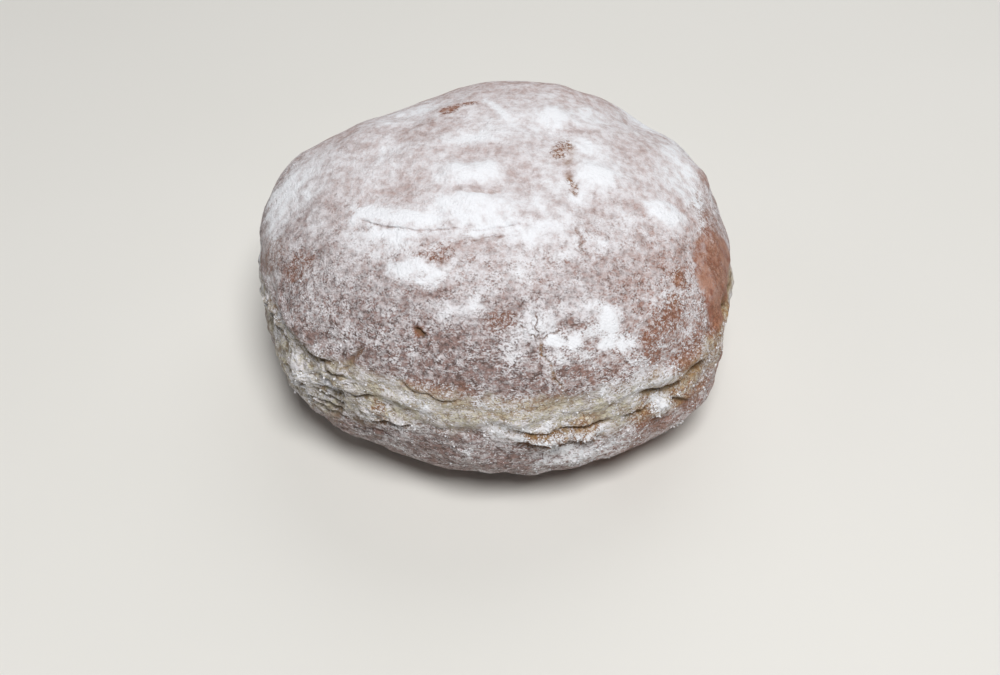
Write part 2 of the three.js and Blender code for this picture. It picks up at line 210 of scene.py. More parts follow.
DUSTINGS = [
    # The top and the back.
    dusting((-152, 30), 4.8, 1.3, 0.6, turn=-10),
    dusting((-132, 24), 5.3, 1.0, 0.6, turn=-6),
    dusting((-135, 31), 8.3, 1.6, 0.5),
    dusting((-102, 22), 6.1, 1.1, 0.3),
    dusting((-136, 38), 3.8, 1.7, 0.35),
    dusting((-70, 24), 4.8, 2.2, 0.4),
    dusting((-116, 10), 3.2, 0.9, -0.5),
    dusting((90, 21), 6.0, 0.8, 0.5, turn=-60),
    dusting((165, 27), 0.6, 4.0, 0.35),
    dusting((-140, 26), 6.5, 0.9, 0.5, turn=-5),
    dusting((48, 31), 4.0, 5.0, 0.25),
    dusting((84, 38), 4.0, 1.5, 0.3),
    dusting((119.6, 33.7), 3.0, 1.8, 0.35),
    dusting((-123, 27.9), 3.0, 2.4, -0.4),
    dusting((-115, 20), 2.0, 4.0, -0.25),
    dusting((-110, 41), 4.6, 1.8, -0.4),
    dusting((-12, 30), 2.4, 3.4, -0.2),
    dusting((175, 43.6), 2.0, 2.6, -0.15),
    dusting((-74.8, 33.9), 2.4, 2.2, -0.2),
    dusting((-65.2, 24.6), 3.0, 3.6, -0.15),
    dusting((-58, 22), 3.1, 2.7, 0.35),
    dusting((-80, 34), 2.8, 2.8, 0.35),
    dusting((-61, 14), 2.2, 2.1, 0.25),
    dusting((88, 10), 8.5, 3.3, 0.2),
    dusting((115, 27), 1.5, 1.1, -0.75),
    dusting((104, 26), 1.3, 0.8, -0.4),
    dusting((21, 13.8), 1.4, 3.6, -0.22, turn=-25),
    dusting((-45, 94), 3.2, 2.0, 0.05),
    dusting((-78, 17), 2.2, 2.4, -0.3),
    dusting((-60, 20), 3.6, 0.9, -0.2),
    dusting((-110, 55.5), 0.6, 0.7, -0.7),
    dusting((-113, 31), 2.3, 2.0, -0.4),
    dusting((-101, 27), 3.2, 1.1, -0.25),
    dusting((-153, 22), 5.0, 3.1, -0.2),
    dusting((138, 21), 5.6, 6.0, -0.2),
    dusting((84, 56), 9, 3.5, 0.45),
    dusting((112, 63), 5, 3, 0.4, turn=15),
    dusting((44, 60), 6, 3, 0.4, turn=-10),
    dusting((142, 64), 6, 2.5, 0.4),
    dusting((70, 72), 5, 2.5, 0.35),
    dusting((98, 70), 7, 1.5, 0.35, turn=8),
    dusting((-177, 17), 3.6, 5.0, -0.15),
    dusting((-168, 39), 2.9, 11.4, -0.15),
    dusting((-23, 8), 5.2, 3.2, -0.2),
    dusting((146, 6), 3.4, 3.6, -0.15),
    # The hump, the right shoulder and the right of the front.
    dusting((56, 21.5), 2.4, 4.2, 0.5),
    dusting((23, 19.5), 2.9, 2.4, 0.4),
    dusting((-9, 20.5), 2.8, 3.4, 0.5),
    dusting((-32, 21), 2.3, 2.2, 0.35),
    dusting((38, 21), 3.0, 0.9, -0.3, turn=20),
    dusting((10, 47), 4.5, 12.4, 0.35),
    dusting((9, 30), 5.0, 16.1, -0.15),
    dusting((-45, 44), 11.6, 7.4, -0.1),
    dusting((-43, 51), 7.7, 4.1, -0.1),
    dusting((-21, 34), 2.4, 5.0, -0.25),
    dusting((-20, 45), 2.4, 3.6, 0.25),
    dusting((2, 56), 2.2, 3.0, 0.35),
    dusting((-16.5, 40.7), 3.4, 2.6, 0.3),
    dusting((-35, 56), 1.3, 1.7, -0.25),
    dusting((-41, 61), 1.5, 1.5, -0.25),
    dusting((-44, 64), 4.2, 2.5, -0.22),
    dusting((-53, 69), 1.0, 3.5, -0.3, turn=8),
    dusting((-43, 81), 3.0, 1.6, -0.35, turn=20),
    # The left, and low on both sides.
    dusting((-166, 80), 4, 4, -0.2),
    dusting((-142, 106), 9, 4, 0.2, turn=-40),
    dusting((-35, 99), 3.4, 2.4, 0.3),
    dusting((-42, 107), 8, 5, 0.25, turn=25),
    dusting((-158, 44), 3.6, 2.4, 0.16, turn=30),
    dusting((-140, 51.5), 2.8, 2.0, 0.16),
    dusting((-133.5, 71.5), 3.4, 2.8, -0.3),
    dusting((-128.7, 64), 2.0, 2.0, -0.3),
    dusting((-127, 76.4), 2.0, 2.2, -0.3),
    dusting((-140.3, 87.3), 3.0, 3.4, -0.3),
    dusting((178, 57), 6.0, 7.2, 0.45),
    dusting((-175, 64), 5.5, 5.7, 0.25),
    dusting((125, 44), 9.5, 8.2, 0.3),
    dusting((-153, 59), 3.1, 2.8, -0.2),
    dusting((-154, 51), 4.1, 1.9, -0.1),
    dusting((-140, 63), 5.5, 2.4, 0.25, turn=-40),
    # The front, and finer patches round it.
    dusting((-92.6, 41), 2.0, 2.4, 0.35),
    dusting((-86.9, 49.6), 1.8, 3.0, 0.25),
    dusting((-62.6, 44.7), 1.8, 3.6, 0.22),
    dusting((-111.7, 71.2), 4.6, 3.0, -0.3),
    dusting((-118, 68), 3.0, 2.0, -0.2),
    dusting((-96, 70), 2.6, 3.0, -0.2),
    dusting((-88, 84), 3.0, 1.4, -0.2),
    dusting((-109.2, 88.4), 4.0, 1.8, -0.35),
    dusting((-96, 92), 2.4, 2.4, -0.25),
    dusting((-83.2, 73.2), 2.8, 4.0, -0.22),
    dusting((-68.8, 68.4), 1.6, 1.6, -0.3),
    dusting((-66.3, 49.6), 4.4, 1.5, 0.35),
    dusting((-104.3, 47.8), 2.6, 1.9, 0.3),
    dusting((-97.5, 45.8), 2.6, 1.3, 0.25, turn=15),
    dusting((-86.2, 56.5), 2.4, 2.6, 0.25),
    dusting((-61.1, 59), 2.0, 3.2, 0.35, turn=20),
    dusting((-58.9, 66), 2.6, 1.2, 0.3),
    dusting((-71.2, 51.6), 1.0, 1.0, -0.5),
    dusting((-69.4, 54.6), 1.2, 0.8, -0.55),
    dusting((-64.7, 53.1), 0.8, 0.7, -0.5),
    dusting((-56.7, 77.2), 1.6, 1.6, -0.25),
    dusting((-96, 44), 2.1, 1.5, 0.3),
    dusting((-81, 50), 1.7, 2.6, 0.4),
    dusting((-76, 51), 1.6, 2.1, 0.5),
    dusting((-61, 53), 3.3, 1.9, 0.5),
    dusting((-61, 60), 2.5, 2.4, 0.45),
    dusting((-86, 56), 1.8, 1.1, 0.4),
    dusting((-86, 61), 1.2, 1.2, 0.35),
    dusting((-80, 70), 1.0, 0.9, 0.35),
    dusting((-108, 63), 3.9, 0.7, 0.35),
    dusting((-88, 49), 1.8, 1.8, -0.15),
    dusting((-104, 57), 13.9, 2.3, -0.1),
    dusting((-82, 69), 18.3, 2.9, -0.1),
    dusting((-107, 30), 2.6, 1.9, -0.3),
    dusting((-93, 43), 5.5, 2.3, -0.3),
    dusting((-83, 48), 1.3, 2.6, -0.3),
    dusting((-68, 28), 1.8, 5.8, -0.25),
    dusting((-32, 23), 2.8, 4.7, -0.3),
    dusting((-64, 52), 2.6, 1.7, -0.2),
    dusting((-72, 62), 2.7, 1.3, -0.2),
    dusting((-105, 64), 6.1, 5.0, -0.3),
    dusting((-143, 68), 7.9, 5.2, -0.3),
    dusting((-132, 62), 1.5, 1.4, -0.4),
    dusting((-118, 71), 2.4, 1.2, -0.2),
    dusting((-165, 45), 2.2, 4.4, 0.3),
    dusting((-151, 35), 3.3, 1.4, 0.2),
    dusting((-156, 53), 5.1, 1.9, 0.2),
    dusting((124, 10), 3.8, 2.8, 0.3),
    dusting((-24, 10), 3.2, 3.7, 0.25),
    dusting((-48, 34), 4.1, 1.6, 0.4),
    dusting((-34, 52), 1.6, 2.1, 0.35),
    dusting((-42, 58), 4.4, 2.8, 0.35),
    dusting((-58, 64), 2.2, 1.7, 0.5),
    dusting((-58, 79), 9.4, 4.4, 0.4),
    dusting((-78, 65), 1.3, 2.0, 0.35),
    dusting((36, 55), 12.9, 12.5, 0.25),
    dusting((-5, 28), 5.4, 7.8, 0.15),
    dusting((-6, 52), 1.9, 6.4, 0.5),
    dusting((165, 50), 7.0, 9.0, 0.3),
    # The waist and below it.
    dusting((-116, 90), 4.4, 2.1, -0.2),
    dusting((-97, 91), 4.3, 3.8, -0.35),
    dusting((-71, 93), 1.9, 2.5, -0.4),
    dusting((-95, 77), 2.9, 1.9, 0.25),
    dusting((-81, 90), 3.8, 2.3, 0.5),
    dusting((-78, 99), 3.0, 2.1, 0.35),
    dusting((-52, 92), 2.1, 2.0, 0.7),
    dusting((-91, 77), 4.2, 1.2, 0.4),
    dusting((-89, 90), 2.0, 0.9, 0.3),
    dusting((-74, 102), 6.6, 2.6, 0.5),
    dusting((-66, 112), 8.6, 4.0, 0.4),
    dusting((-62, 98), 7.6, 2.9, 0.2),
    dusting((-44, 101), 9, 3.5, -0.2),
    dusting((-38, 92), 5, 2.2, -0.05),
    dusting((-70, 99), 2.7, 2.0, -0.4),
    dusting((-79, 92.5), 4.4, 0.8, -0.4),
]


def tint(at, long, wide, amount, turn=0, golden=0.0):
    """A spot where the crust shows orange or, by the share golden, a golden brown."""
    return dict(at=at, long=long, wide=wide, turn=turn, amount=amount, golden=golden)


TINTS = [
    tint((21, 13.8), 1.6, 3.6, 0.6, turn=-25, golden=0.8),
    tint((-29, 77), 2.4, 2.4, 0.6),
    tint((-34, 85), 4.5, 1.5, 0.6, turn=8, golden=0.8),
    tint((-158, 87), 5.0, 2.6, 0.35, golden=0.9),
    tint((-106, 84), 4.0, 1.3, 0.2, golden=1),
    tint((-75, 96.5), 5.0, 0.9, 0.5, turn=8, golden=0.4),
    tint((-165, 67), 4.0, 3.6, 0.3, golden=0.3),
    tint((-45, 94), 3.4, 2.2, 0.75, golden=1),
    tint((-36, 94), 3.0, 1.6, 0.5, golden=1),
    tint((-24, 16.5), 0.8, 3.2, 0.5, turn=15, golden=0.8),
    tint((-88, 49), 2.4, 1.8, 0.4),
    tint((-110, 55.5), 0.8, 0.8, 0.8),
    tint((115, 27), 1.8, 1.3, 0.8),
    tint((104, 26), 1.4, 0.9, 0.5),
    tint((-35, 56), 1.6, 1.8, 0.7, golden=0.3),
    tint((-41, 61), 1.8, 1.6, 0.7, golden=0.3),
    tint((-44, 64), 4.5, 2.6, 0.5),
    tint((-53, 69), 1.6, 4.0, 0.6, turn=8),
    tint((-43, 81), 3.6, 2.0, 0.6, turn=20),
    tint((-20, 72), 3.5, 8.0, 0.5),
    tint((-29, 88), 8.7, 4.4, 0.9),
    tint((-41, 91), 5.3, 5.4, 0.8),
    tint((-56, 95), 2.4, 3.6, 0.8),
    tint((-71, 93), 2.8, 3.3, 0.7),
    tint((-5, 58), 4.1, 7.0, 0.4),
    tint((-89, 79), 9.3, 2.0, 0.3),
    tint((-79, 92), 4.4, 1.7, 0.6),
    tint((-117, 90), 1.5, 1.7, 0.6),
    tint((-104, 74), 6.6, 1.4, 0.4),
    tint((-153, 59), 3.1, 2.8, 0.4),
    tint((-113, 31), 2.3, 2.0, 0.4),
]


TINY = 1e-9


def norm(vectors):
    """The vectors at length 1."""
    return vectors / np.maximum(np.linalg.norm(vectors, axis=-1, keepdims=True), TINY)


def power(v, k):
    """A power that keeps the sign."""
    return np.sign(v) * np.abs(v) ** k


def bell(v):
    """1 at 0, falling to 0 on both sides."""
    return np.exp(-v * v)


def smooth(v, low, high):
    """0 at low and 1 at high, with a soft step between; low may be the greater one."""
    t = np.clip((v - low) / (high - low), 0, 1)
    return t * t * (3 - 2 * t)


def direction(place):
    """The unit vector towards a place."""
    azimuth, polar = np.radians(place)
    return np.array([np.sin(polar) * np.cos(azimuth), np.sin(polar) * np.sin(azimuth), np.cos(polar)])


def body_points(directions):
    """The smooth body's points in the directions of unit vectors."""
    x, y, z = np.atleast_2d(directions).T
    flat = np.maximum(np.hypot(x, y), TINY)
    out = np.where(z >= 0, flat ** 2, 1 - np.abs(z) ** FULLNESS) ** (1 / SIDE_POWER)
    top = (HEIGHT - WAIST_Z) * power(z, 2 / TOP_POWER)
    bottom = (WAIST_Z + FOOT_CUT) * power(z, 2 / BOTTOM_POWER)
    up = np.where(z >= 0, top, bottom)
    return np.stack([WIDTH / 2 * out * x / flat, DEPTH / 2 * out * y / flat, WAIST_Z + up], 1)


def body_place(place):
    """The smooth body's point at a place."""
    return body_points(direction(place))[0]


# The noise's table of slopes, and what brings its bumps up to about 1.
TABLE_SIZE = 256
NOISE_GAIN = 1.7


def noise(points, size, seed):
    """Smooth random bumps between about -1 and 1, a size apart. The seed picks the pattern."""
    rng = np.random.default_rng(seed)
    last = TABLE_SIZE - 1
    table = rng.permutation(TABLE_SIZE)
    slopes = norm(rng.normal(size=(TABLE_SIZE, 3)))
    at = points / size
    cell = np.floor(at).astype(np.int64)
    inside = at - cell
    ease = inside ** 3 * (inside * (inside * 6 - 15) + 10)
    total = np.zeros(len(points))
    for corner in itertools.product((0, 1), repeat=3):
        corner = np.array(corner)
        x, y, z = (cell + corner).T & last
        slope = slopes[table[(table[(table[x] + y) & last] + z) & last]]
        weight = np.where(corner, ease, 1 - ease).prod(1)
        total += weight * ((inside - corner) * slope).sum(1)
    return total * NOISE_GAIN


def layers(points, size, seed):
    """Noise with finer and weaker noise on top."""
    return noise(points, size, seed) + noise(points, size / 2, seed + 1) / 2


# The directions and lengths of the solid's waves, as in the solid.
GOLDEN_ANGLE = 180 * (3 - math.sqrt(5))
WAVE_COUNT = 15
PITCH_SPREAD = 0.2


def waves(points, size):
    """The solid's own unevenness: waves in evenly spread directions."""
    total = np.zeros(len(points))
    for k in range(WAVE_COUNT):
        share = (k + 0.5) / WAVE_COUNT
        polar = math.degrees(math.acos(1 - share))
        pitch = size * (1 + PITCH_SPREAD * (2 * share - 1))
        total += np.sin(points @ direction((GOLDEN_ANGLE * k, polar)) * (2 * math.pi / pitch) + k * k)
    return total / math.sqrt(WAVE_COUNT)


def groove_parts(points, g):
    """For one groove: the share along it, the offset across it in its widths, its fade at the ends and the
    direction of its side."""
    start, end = body_place(g["start"]), body_place(g["end"])
    run = end - start
    length = np.linalg.norm(run)
    along = run / length
    out = norm(start + run / 2 - CORE)
    side = norm(np.cross(out, along))
    offset = points - start
    share = offset @ along / length
    bend = g["bow"] * 4 * share * (1 - share) + g["ripple"] * np.sin(2 * math.pi * GROOVE_WAVES * share)
    across = (offset @ side - bend) / g["width"]
    here = (share > 0) & (share < 1) & (norm(points - CORE) @ out > FACING)
    fade = smooth(np.minimum(share, 1 - share), 0, GROOVE_TAPER) * here
    return share, across, fade, side


def spread_of(points, patch):
    """Distance from the middle of a mound or patch, 1 at its half sizes."""
    middle = body_place(patch["at"])
    out = norm(middle - CORE)
    length = norm(np.array([1.0, 0, 0]) - out[0] * out)
    turn = math.radians(patch["turn"])
    breadth = np.cross(out, length)
    length, breadth = (
        math.cos(turn) * length + math.sin(turn) * breadth,
        math.cos(turn) * breadth - math.sin(turn) * length,
    )
    offset = points - middle
    parts = [offset @ length / patch["long"], offset @ breadth / patch["wide"], offset @ out / patch["long"]]
    return np.sqrt(sum(part ** 2 for part in parts))


MAP_COLUMNS, MAP_ROWS = 3, 2
MAP_MARGIN = 0.01


def cube_ball():
    """A bmesh of directions: a cube's grid blown up to a ball, with its six faces side by side in a map."""
    mesh = bmesh.new()
    layout = mesh.loops.layers.uv.new("OFBake")
    found = {}
    for index, (axis, sign) in enumerate(itertools.product(range(3), (1, -1))):
        first, second = [k for k in range(3) if k != axis]
        counts = [SQUARES_UPWARD if k == 2 else SQUARES_ACROSS for k in (first, second)]
        corners = {}
        for i, j in itertools.product(range(counts[0] + 1), range(counts[1] + 1)):
            cube = [0, 0, 0]
            cube[axis] = sign
            cube[first] = 2 * i / counts[0] - 1
            cube[second] = 2 * j / counts[1] - 1
            key = tuple(round(v, 6) for v in cube)
            if key not in found:
                found[key] = mesh.verts.new([math.tan(math.pi / 4 * v) for v in cube])
            corners[i, j] = found[key]
        column, row = index % MAP_COLUMNS, index // MAP_COLUMNS
        for i, j in itertools.product(range(counts[0]), range(counts[1])):
            ring = [(i, j), (i + 1, j), (i + 1, j + 1), (i, j + 1)]
            if (sign > 0) == (axis == 1):
                ring.reverse()
            face = mesh.faces.new([corners[c] for c in ring])
            for loop, (a, b) in zip(face.loops, ring):
                shares = (a / counts[0], b / counts[1])
                u, v = (MAP_MARGIN + (1 - 2 * MAP_MARGIN) * share for share in shares)
                loop[layout].uv = ((column + u) / MAP_COLUMNS, (row + v) / MAP_ROWS)
    return mesh


def directions_of(mesh):
    """The unit vectors of a ball's corners, drawn towards the front."""
    raw = np.array([v.co[:] for v in mesh.verts])
    return norm(norm(raw) + FRONT_PULL)


def split_where(mesh, wanted):
    """Splits in four each face that has a corner where wanted. The edges keep a fixed order, each once."""
    mesh.verts.index_update()
    faces = (f for f in mesh.faces if any(wanted[v.index] for v in f.verts))
    edges = dict.fromkeys(e for f in faces for e in f.edges)
    bmesh.ops.subdivide_edges(mesh, edges=list(edges), cuts=1, use_grid_fill=True)
    mesh.verts.index_update()


def near_grooves(points, reach, thin_only=False):
    """Which points lie within a reach of a groove."""
    near = np.zeros(len(points), bool)
    for g in GROOVES:
        if thin_only and g["width"] > THIN:
            continue
        _, across, fade, _ = groove_parts(points, g)
        near |= (fade > 0) & (np.abs(across) * g["width"] < reach)
    return near


def refined_ball():
    """The ball with its squares split where the relief is fine."""
    mesh = cube_ball()
    points = body_points(directions_of(mesh))
    front = points @ FRONT_SIDE > FRONT_FROM
    waist = np.abs(points[:, 2] - WAIST_LEVEL) < WAIST_REACH
    split_where(mesh, (front & (points[:, 2] > UNDERSIDE_Z)) | waist)
    points = body_points(directions_of(mesh))
    fine_waist = (np.abs(points[:, 2] - FINE_WAIST_LEVEL) < FINE_WAIST_REACH) & (points[:, 1] < FINE_WAIST_Y)
    split_where(mesh, near_grooves(points, FOLD_REACH) | fine_waist)
    points = body_points(directions_of(mesh))
    split_where(mesh, near_grooves(points, CRACK_REACH, thin_only=True))
    return mesh


# The heights of the band's edges, and how far they fade.
BAND_TOP, BAND_BOTTOM = 25, 17.5
BAND_TOP_FADE, BAND_BOTTOM_FADE = 1.6, 2.5


def rise(azimuth, place, reach, height):
    """How far an edge of the band rises near an azimuth, within a reach in degrees."""
    return height * bell(((azimuth - place + 180) % 360 - 180) / reach)


def band_share(points):
    """1 in the pale band round the waist and 0 above and below it."""
    azimuth = np.degrees(np.arctan2(points[:, 1], points[:, 0]))
    top = BAND_TOP + rise(azimuth, place=-107, reach=50, height=4.4)
    bottom = BAND_BOTTOM + rise(azimuth, place=-101, reach=24, height=4.6)
    bottom += rise(azimuth, place=-146, reach=24, height=-6.5)
    wobble = 1.5 * noise(points, 5, 21) + 0.8 * noise(points, 1.8, 22)
    z = points[:, 2] + wobble
    above = smooth(z - bottom, -BAND_BOTTOM_FADE, BAND_BOTTOM_FADE)
    return smooth(top - z, -BAND_TOP_FADE, BAND_TOP_FADE) * above


def smooth_relief(points):
    """The solid's own swells, unevenness and waist wrinkles."""
    relief = UNEVENNESS["height"] * waves(points, UNEVENNESS["size"])
    relief += ROUGHNESS["height"] * waves(points, ROUGHNESS["size"])
    for at, reach, height in SWELLS:
        relief += height * bell(np.linalg.norm(points - body_place(at), axis=1) / reach)
    wrinkles = BAND_WRINKLES
    squeezed = points * [1 / wrinkles["stretch"], 1 / wrinkles["stretch"], 1]
    around_waist = bell((points[:, 2] - wrinkles["z"]) / wrinkles["reach"])
    return relief + wrinkles["height"] * around_waist * waves(squeezed, wrinkles["size"])


def fold_relief(points):
    """The grooves and the filling pit: relief, slide, bareness with painted shade on the floors, and stain.
    """
    relief = np.zeros(len(points))
    slide = np.zeros_like(points)
    bare_and_shaded = np.zeros(len(points))
    stain = np.zeros(len(points))
    jitter = 0.22 * noise(points, 2.2, 31) + 0.14 * noise(points, 0.9, 32)
    broken = smooth(noise(points, 1.1, 33), -0.3, 0.2)
    for g in GROOVES:
        share, across, fade, side = groove_parts(points, g)
        across = across + jitter / g["width"]
        floor = bell(across) * fade
        relief += fade * g["lip"] * bell((across - LIP_OFFSET) / LIP_WIDTH) - g["depth"] * floor
        slide -= side * (g["hang"] * fade * bell((across - HANG_OFFSET) / HANG_WIDTH))[:, None]
        # A groove's floor loses its sugar and is darkened with painted shade.
        bare_and_shaded = np.maximum(bare_and_shaded, g["bare_and_shaded"] * floor * (1 - (1 - g["bare_and_shaded"]) * (1 - broken)))
        stain = np.maximum(stain, g["stain"] * fade * bell(across / STAIN_WIDTH))
    pit = FILLING_PIT
    near = np.linalg.norm(points - body_place(pit["at"]), axis=1) / pit["reach"]
    relief += pit["rim_height"] * bell(near * pit["reach"] / pit["rim_reach"])
    relief -= (pit["depth"] + pit["rim_height"]) * bell(near)
    # The pit's floor is bare too and darkened with painted shade.
    bare_and_shaded = np.maximum(bare_and_shaded, bell(near))
    stain = np.maximum(stain, pit["stain"] * bell(near))
    return relief, slide, bare_and_shaded, stain


def flaky_share(points):
    """1 where the lower half is flaky, at the left and the back, and 0 where it is only crumbly."""
    x, y, height = points.T
    left_or_back = np.maximum(smooth(x, -14, -28), smooth(y, -2, 10))
    return left_or_back * smooth(height, 8, 15) * smooth(height, 31, 26)


# Ledges run round this level, within a reach, and are LEDGE_HEIGHT high. Crumbs rise CRUMB_RISE at most.
LEDGE_LEVEL, LEDGE_REACH = 20, 8
LEDGE_HEIGHT = 2.3
CRUMB_RISE = 0.55
# The crust's own fine bumps, and the share of them that a drift hides.
FINE_BUMPS = dict(size=1.5, height=0.06, hidden=0.6)


def crumb_relief(points):
    """The crumbly lower half: ledges that run round the waist, lumps and pits. Relief, and a mask for under
    the ledges' edges and the valleys between the lumps, which are left without sugar and painted in shade.
    """
    low = smooth(points[:, 2], 31, 24) * smooth(points[:, 2], 0.5, 4)
    waist = bell((points[:, 2] - LEDGE_LEVEL) / LEDGE_REACH)
    flaky = flaky_share(points)
    # Ledges: each swells outward over its height and is cut back under its edge.
    level = points * [0.3, 0.3, 1]
    climb = points[:, 2] + 2.2 * noise(level, 3.2, 71) + 0.6 * noise(points, 1.6, 72)
    step = climb / LEDGE_HEIGHT % 1
    strength = smooth(noise(points * [0.6, 0.6, 1], 4.5, 73), -0.15, 0.45) * waist
    strength *= 0.25 + 0.75 * flaky
    relief = 1.1 * strength * (smooth(step, 0, 0.75) * smooth(step, 1.0, 0.8) - 0.5)
    # Painted shade under each ledge's edge.
    under_ledge_shade = strength * smooth(np.abs(step - 0.97), 0.10, 0.02)
    # Lumps with valleys between them.
    squeezed = points * [0.7, 0.7, 1]
    coarse = np.abs(noise(squeezed, 2.5, 74))
    fine = np.abs(noise(squeezed, 1.2, 75))
    relief += low * (0.9 * coarse + 0.45 * fine - 0.45) * (0.25 + 0.25 * waist + 0.5 * flaky)
    relief += 0.45 * low * noise(points, 4.5, 76)
    relief = np.where(relief > 0, CRUMB_RISE * np.tanh(relief / CRUMB_RISE), relief) - 0.2 * low
    # Painted shade in the valleys between the lumps.
    valley_shade = smooth(coarse + 0.5 * fine, 0.20, 0.03) * low * (0.4 + 0.6 * flaky)
    return relief, np.maximum(0.8 * under_ledge_shade, 0.5 * valley_shade)


def ragged(points, patch, edge, outer, inner):
    """1 inside a patch and 0 outside it, with a soft ragged edge."""
    return smooth(spread_of(points, patch) + edge, outer, inner)


def sugar_density(points, bare_and_shaded, low):
    """How much sugar lies at each point, about 0 to 1, with the drifts, the bald crust, its tint, how golden
    that is and how strong the grain is."""
    edge = 0.38 * noise(points, 3.8, 41) + 0.26 * noise(points, 1.7, 42) + 0.12 * noise(points, 0.9, 43)
    x, y, height = points.T
    # More on top, on the right shoulder and at the waist, and less low down.
    density = 0.41 + 0.28 * smooth(height, 38, 45)
    density += 0.12 * smooth(x, 5, 32) * smooth(height, 26, 34)
    density += 0.12 * smooth(height, 28, 22) - 0.36 * smooth(height, 20, 13)
    # The grain is sharpest on the front, and a little weaker low on the sides and at the back.
    near_front = smooth(y, 2, -25) * (0.4 * smooth(height, 46, 42) + 0.6 * smooth(height, 40, 34))
    near_front *= 1 - 0.25 * smooth(x, -10, -30) - 0.2 * smooth(x, 5, 25) * smooth(height, 28, 36)
    density += 0.06 * smooth(x, -8, -24) - 0.07 * near_front
    grainy = np.maximum(near_front, 0.7 * smooth(y, -8, 6) * smooth(height, 38, 32))
    # Mottle at four sizes, then the patches, the drifts and the bare crust.
    level = points * [0.85, 0.85, 1.25]
    mottle = 0.14 * noise(points, 9, 44) + 0.13 * noise(level, 4.5, 45) + 0.15 * noise(level, 2.3, 46)
    mottle += 0.10 * noise(level, 1.2, 47)
    density += mottle * (0.6 + 0.5 * grainy + low)
    patchy = 0.8 + 0.45 * noise(points, 1.6, 51)
    for d in DUSTINGS:
        density += patchy * d["amount"] * bell(np.maximum(spread_of(points, d) + edge, 0) ** 1.5)
    drift = np.zeros(len(points))
    for m in MOUNDS:
        drift = np.maximum(drift, m["sugar"] * ragged(points, m, (0.7 + 0.6 * near_front) * edge, 1.45, 0.6))
    holes = layers(points, 2.6, 48)
    density += drift * (1.02 + (0.2 + 0.35 * near_front) * holes - np.clip(density, 0, 0.9))
    bald = np.zeros(len(points))
    for m in BALD:
        bald = np.maximum(bald, m["share"] * ragged(points, m, 0.35 * edge, 1.12, 0.9))
    tinted = 0.4 * bald * smooth(noise(points * [1, 1, 0.5], 2.5, 49), -0.1, 0.5)
    golden = np.zeros(len(points))
    for t in TINTS:
        here = t["amount"] * ragged(points, t, edge, 1.6, 0.6)
        golden = np.where(here > tinted, t["golden"], golden)
        tinted = np.maximum(tinted, here)
    veil = 0.12 * smooth(noise(points * [0.7, 0.7, 0.3], 2.2, 50), 0.0, 0.7) + 0.25 * smooth(height, 30, 38)
    density += bald * (veil - 0.05 - density) - bare_and_shaded - 0.05 * tinted
    grit = (0.15 + 0.85 * grainy) * (1 - 0.8 * smooth(density, 0.7, 1.1)) * (1 - 0.7 * bald)
    return density, drift, bald, tinted, golden, grit


def doughnut_shape(points):
    """Moves the smooth body's points out to the real surface. Returns them with the masks that the finish
    reads."""
    out = norm(points - CORE)
    folds, slide, bare_and_shaded, stain = fold_relief(points)
    crumbs, shaded_gaps = crumb_relief(points)
    relief = smooth_relief(points) + folds + crumbs
    band = band_share(points)
    low = smooth(points[:, 2], 36, 26)
    # The painted shade under the ledges and in the valleys joins that of the grooves.
    bare_and_shaded = np.maximum(bare_and_shaded, shaded_gaps)
    density, drift, bald, tinted, golden, grit = sugar_density(points, bare_and_shaded, low)

    edge = 0.30 * noise(points, 3.2, 41) + 0.18 * noise(points, 1.3, 42)
    for m in MOUNDS:
        relief += m["height"] * bell(np.maximum(spread_of(points, m) + edge, 0) ** 2)
    bumps = FINE_BUMPS
    relief += bumps["height"] * layers(points, bumps["size"], 61) * (1 - bumps["hidden"] * drift)

    placed = points + out * relief[:, None] + slide
    placed[:, 2] = np.maximum(placed[:, 2], 0)
    x, y, height = points.T
    # The crust is a warmer brown on top, at the right and at the back.
    warm = np.maximum(0.7 * smooth(height, 39, 43), np.maximum(smooth(x, 2, 32), smooth(y, 0, 25)))
    masks = dict(sugar=density, grit=grit, bald=bald, tinted=tinted, band=band, bare_and_shaded=bare_and_shaded, stain=stain)
    masks.update(flaky=flaky_share(points), warm=warm, golden=np.maximum(band, golden))
    return placed, masks


def mesh_object(name, mesh):
    """An object for a mesh, put in the scene."""
    mesh.name = name
    ob = bpy.data.objects.new(name, mesh)
    bpy.context.scene.collection.objects.link(ob)
    return ob


def set_points(mesh, points):
    """Sets a mesh's corners from millimetres."""
    mesh.vertices.foreach_set("co", (points * MM).astype(np.float32).ravel())


def set_mask(mesh, name, values):
    """Keeps a value for each corner, which the material reads by name."""
    mask = mesh.attributes.new(name, "FLOAT", "POINT")
    mask.data.foreach_set("value", values.astype(np.float32))


def centred_on_box(points):
    """Puts the shape's middle over the solid's, in millimetres."""
    low, high = (np.array(corner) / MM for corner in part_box("doughnut"))
    middle = (points.min(0) + points.max(0)) / 2
    return points + [*((low + high) / 2 - middle)[:2], 0]


def doughnut_piece():
    """The crust with its masks. Returns the object, its points in millimetres and the masks."""
    grid = refined_ball()
    bmesh.ops.triangulate(grid, faces=grid.faces)
    directions = directions_of(grid)
    mesh = bpy.data.meshes.new("doughnut_crust")
    grid.to_mesh(mesh)
    grid.free()
    placed, masks = doughnut_shape(body_points(directions))
    placed = centred_on_box(placed)
    set_points(mesh, placed)
    for name, values in masks.items():
        set_mask(mesh, name, values)
    mesh.update()
    mesh.shade_smooth()
    return mesh_object("doughnut_crust", mesh), placed, masks


# Loose sugar

